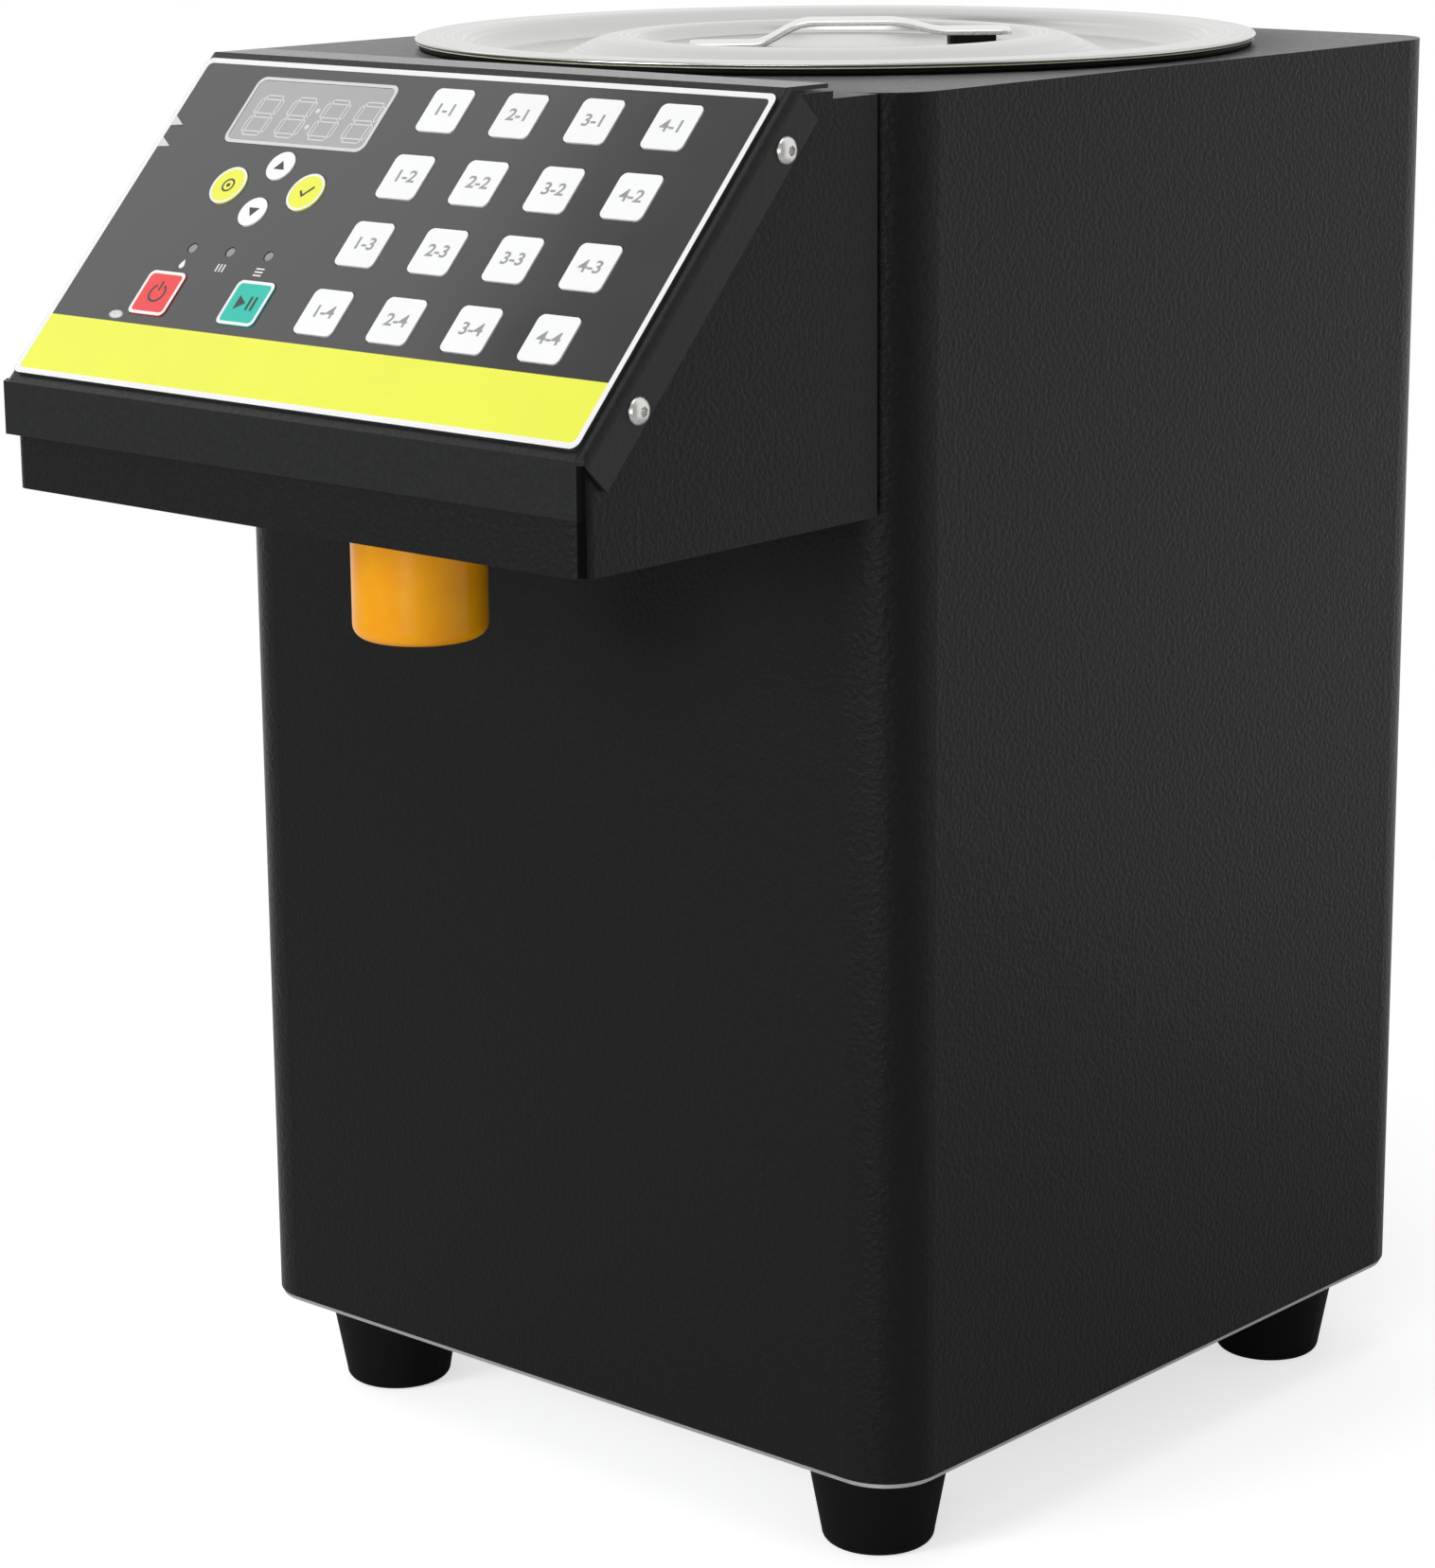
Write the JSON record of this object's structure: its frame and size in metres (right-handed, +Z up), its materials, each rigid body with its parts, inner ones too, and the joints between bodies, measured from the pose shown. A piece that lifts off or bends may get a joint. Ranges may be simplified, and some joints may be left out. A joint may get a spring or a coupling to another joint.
{
  "type": "fructose dispenser",
  "caption": "Countertop syrup dispenser: square cabinet with a lidded tank and gear pump, a sloping keypad head and a sleeved anti-drip nozzle.",
  "frame": {"origin": "centre of the whole outer box in X and Y, at the level of the feet's soles; X = 0 is the middle of the cabinet", "axes": "+X to the right of someone facing the keypad, +Y from the head to the rear panel, +Z up"},
  "size_m": [0.265, 0.3897, 0.4342],
  "materials": {
    "textured_black": "satin, fine orange-peel powder coat",
    "smooth_black": "satin powder coat",
    "plated_steel": "zinc plated",
    "black_rubber": "matt",
    "stainless": "bright rolled stainless steel",
    "clear_silicone": "translucent",
    "copper_band": "satin",
    "white_plastic": "satin",
    "cast_alloy": "machined",
    "motor_grey": "satin",
    "black_plastic": "satin",
    "orange_plastic": "glossy, slightly see-through",
    "overlay_grey": "semi-gloss printed polyester",
    "display_grey": "glossy filter",
    "lamp_clear": "diffuse",
    "board_green": "satin",
    "key_white": "satin",
    "key_yellow": "satin",
    "key_red": "satin",
    "key_teal": "satin",
    "rocker_red": "satin"
  },
  "bodies": {
    "cabinet": {"body_shell": "textured_black", "rear_panel": "textured_black", "base_plate": "plated_steel", "feet": "black_rubber", "screws": "stainless", "tank": "stainless", "tank_bottom": "stainless", "tank_gasket": "clear_silicone", "heater_band": "copper_band", "float_stem": "stainless", "pump_body": "cast_alloy", "pump_cover": "cast_alloy", "pump_motor": "motor_grey", "motor_bracket": "plated_steel", "suction_hose": "clear_silicone", "delivery_hose": "clear_silicone", "hose_clamps": "plated_steel", "nozzle_body": "stainless", "nozzle_nut": "black_plastic", "valve_spring": "stainless", "head_tray": "textured_black", "head_cover": "smooth_black", "panel_overlay": "overlay_grey", "display_module": "display_grey", "indicator_lamps": "lamp_clear", "control_board": "board_green", "power_supply": "plated_steel", "power_inlet": "black_plastic", "switch_frame": "black_plastic", "wiring": "black_plastic"},
    "lid_assembly": {"lid": "stainless", "lid_handle": "stainless"},
    "drive_shaft": {"drive_gear": "stainless"},
    "driven_shaft": {"driven_gear": "stainless"},
    "sleeve": {"nozzle_sleeve": "orange_plastic"},
    "poppet": {"valve_poppet": "white_plastic"},
    "float": {"level_float": "white_plastic"},
    "rocker": {"power_rocker": "rocker_red"},
    "key_1_1_cap": {"key_1_1": "key_white"},
    "key_1_2_cap": {"key_1_2": "key_white"},
    "key_1_3_cap": {"key_1_3": "key_white"},
    "key_1_4_cap": {"key_1_4": "key_white"},
    "key_2_1_cap": {"key_2_1": "key_white"},
    "key_2_2_cap": {"key_2_2": "key_white"},
    "key_2_3_cap": {"key_2_3": "key_white"},
    "key_2_4_cap": {"key_2_4": "key_white"},
    "key_3_1_cap": {"key_3_1": "key_white"},
    "key_3_2_cap": {"key_3_2": "key_white"},
    "key_3_3_cap": {"key_3_3": "key_white"},
    "key_3_4_cap": {"key_3_4": "key_white"},
    "key_4_1_cap": {"key_4_1": "key_white"},
    "key_4_2_cap": {"key_4_2": "key_white"},
    "key_4_3_cap": {"key_4_3": "key_white"},
    "key_4_4_cap": {"key_4_4": "key_white"},
    "key_set_cap": {"key_set": "key_yellow"},
    "key_save_cap": {"key_save": "key_yellow"},
    "key_up_cap": {"key_up": "key_white"},
    "key_down_cap": {"key_down": "key_white"},
    "key_power_cap": {"key_power": "key_red"},
    "key_run_cap": {"key_run": "key_teal"}
  },
  "joints": [
    {"name": "lid_lift", "type": "slide", "parent": "cabinet", "child": "lid_assembly", "axis": [0, 0, 1], "range_m": [0, 0.12]},
    {"name": "pump_drive_spin", "type": "hinge", "parent": "cabinet", "child": "drive_shaft", "pos_m": [0.018, 0.05555, 0.102], "axis": [1, 0, 0], "continuous": true},
    {"name": "pump_driven_spin", "type": "hinge", "parent": "cabinet", "child": "driven_shaft", "pos_m": [0.018, 0.05555, 0.078], "axis": [1, 0, 0], "continuous": true},
    {"name": "sleeve_pull", "type": "slide", "parent": "cabinet", "child": "sleeve", "axis": [0, 0, -1], "range_m": [0, 0.06]},
    {"name": "valve_open", "type": "slide", "parent": "cabinet", "child": "poppet", "axis": [0, 0, -1], "range_m": [0, 0.002], "stiffness_N_per_m": 300, "springref_m": -0.001, "deforming": ["valve_spring"]},
    {"name": "float_rise", "type": "slide", "parent": "cabinet", "child": "float", "axis": [0, 0, 1], "range_m": [0, 0.03]},
    {"name": "rocker_swing", "type": "hinge", "parent": "cabinet", "child": "rocker", "pos_m": [-0.062, 0.185, 0.1325], "axis": [0, 0, -1], "range_deg": [0, 14]},
    {"name": "key_1_1_press", "type": "slide", "parent": "cabinet", "child": "key_1_1_cap", "axis": [0, 0.7254, -0.6884], "range_m": [0, 0.0004], "stiffness_N_per_m": 600, "springref_m": -0.0005},
    {"name": "key_1_2_press", "type": "slide", "parent": "cabinet", "child": "key_1_2_cap", "axis": [0, 0.7254, -0.6884], "range_m": [0, 0.0004], "stiffness_N_per_m": 600, "springref_m": -0.0005},
    {"name": "key_1_3_press", "type": "slide", "parent": "cabinet", "child": "key_1_3_cap", "axis": [0, 0.7254, -0.6884], "range_m": [0, 0.0004], "stiffness_N_per_m": 600, "springref_m": -0.0005},
    {"name": "key_1_4_press", "type": "slide", "parent": "cabinet", "child": "key_1_4_cap", "axis": [0, 0.7254, -0.6884], "range_m": [0, 0.0004], "stiffness_N_per_m": 600, "springref_m": -0.0005},
    {"name": "key_2_1_press", "type": "slide", "parent": "cabinet", "child": "key_2_1_cap", "axis": [0, 0.7254, -0.6884], "range_m": [0, 0.0004], "stiffness_N_per_m": 600, "springref_m": -0.0005},
    {"name": "key_2_2_press", "type": "slide", "parent": "cabinet", "child": "key_2_2_cap", "axis": [0, 0.7254, -0.6884], "range_m": [0, 0.0004], "stiffness_N_per_m": 600, "springref_m": -0.0005},
    {"name": "key_2_3_press", "type": "slide", "parent": "cabinet", "child": "key_2_3_cap", "axis": [0, 0.7254, -0.6884], "range_m": [0, 0.0004], "stiffness_N_per_m": 600, "springref_m": -0.0005},
    {"name": "key_2_4_press", "type": "slide", "parent": "cabinet", "child": "key_2_4_cap", "axis": [0, 0.7254, -0.6884], "range_m": [0, 0.0004], "stiffness_N_per_m": 600, "springref_m": -0.0005},
    {"name": "key_3_1_press", "type": "slide", "parent": "cabinet", "child": "key_3_1_cap", "axis": [0, 0.7254, -0.6884], "range_m": [0, 0.0004], "stiffness_N_per_m": 600, "springref_m": -0.0005},
    {"name": "key_3_2_press", "type": "slide", "parent": "cabinet", "child": "key_3_2_cap", "axis": [0, 0.7254, -0.6884], "range_m": [0, 0.0004], "stiffness_N_per_m": 600, "springref_m": -0.0005},
    {"name": "key_3_3_press", "type": "slide", "parent": "cabinet", "child": "key_3_3_cap", "axis": [0, 0.7254, -0.6884], "range_m": [0, 0.0004], "stiffness_N_per_m": 600, "springref_m": -0.0005},
    {"name": "key_3_4_press", "type": "slide", "parent": "cabinet", "child": "key_3_4_cap", "axis": [0, 0.7254, -0.6884], "range_m": [0, 0.0004], "stiffness_N_per_m": 600, "springref_m": -0.0005},
    {"name": "key_4_1_press", "type": "slide", "parent": "cabinet", "child": "key_4_1_cap", "axis": [0, 0.7254, -0.6884], "range_m": [0, 0.0004], "stiffness_N_per_m": 600, "springref_m": -0.0005},
    {"name": "key_4_2_press", "type": "slide", "parent": "cabinet", "child": "key_4_2_cap", "axis": [0, 0.7254, -0.6884], "range_m": [0, 0.0004], "stiffness_N_per_m": 600, "springref_m": -0.0005},
    {"name": "key_4_3_press", "type": "slide", "parent": "cabinet", "child": "key_4_3_cap", "axis": [0, 0.7254, -0.6884], "range_m": [0, 0.0004], "stiffness_N_per_m": 600, "springref_m": -0.0005},
    {"name": "key_4_4_press", "type": "slide", "parent": "cabinet", "child": "key_4_4_cap", "axis": [0, 0.7254, -0.6884], "range_m": [0, 0.0004], "stiffness_N_per_m": 600, "springref_m": -0.0005},
    {"name": "key_set_press", "type": "slide", "parent": "cabinet", "child": "key_set_cap", "axis": [0, 0.7254, -0.6884], "range_m": [0, 0.0004], "stiffness_N_per_m": 600, "springref_m": -0.0005},
    {"name": "key_save_press", "type": "slide", "parent": "cabinet", "child": "key_save_cap", "axis": [0, 0.7254, -0.6884], "range_m": [0, 0.0004], "stiffness_N_per_m": 600, "springref_m": -0.0005},
    {"name": "key_up_press", "type": "slide", "parent": "cabinet", "child": "key_up_cap", "axis": [0, 0.7254, -0.6884], "range_m": [0, 0.0004], "stiffness_N_per_m": 600, "springref_m": -0.0005},
    {"name": "key_down_press", "type": "slide", "parent": "cabinet", "child": "key_down_cap", "axis": [0, 0.7254, -0.6884], "range_m": [0, 0.0004], "stiffness_N_per_m": 600, "springref_m": -0.0005},
    {"name": "key_power_press", "type": "slide", "parent": "cabinet", "child": "key_power_cap", "axis": [0, 0.7254, -0.6884], "range_m": [0, 0.0004], "stiffness_N_per_m": 600, "springref_m": -0.0005},
    {"name": "key_run_press", "type": "slide", "parent": "cabinet", "child": "key_run_cap", "axis": [0, 0.7254, -0.6884], "range_m": [0, 0.0004], "stiffness_N_per_m": 600, "springref_m": -0.0005}
  ],
  "couplings": [
    {"joint": "pump_driven_spin", "follows": "pump_drive_spin", "ratio": -1}
  ]
}
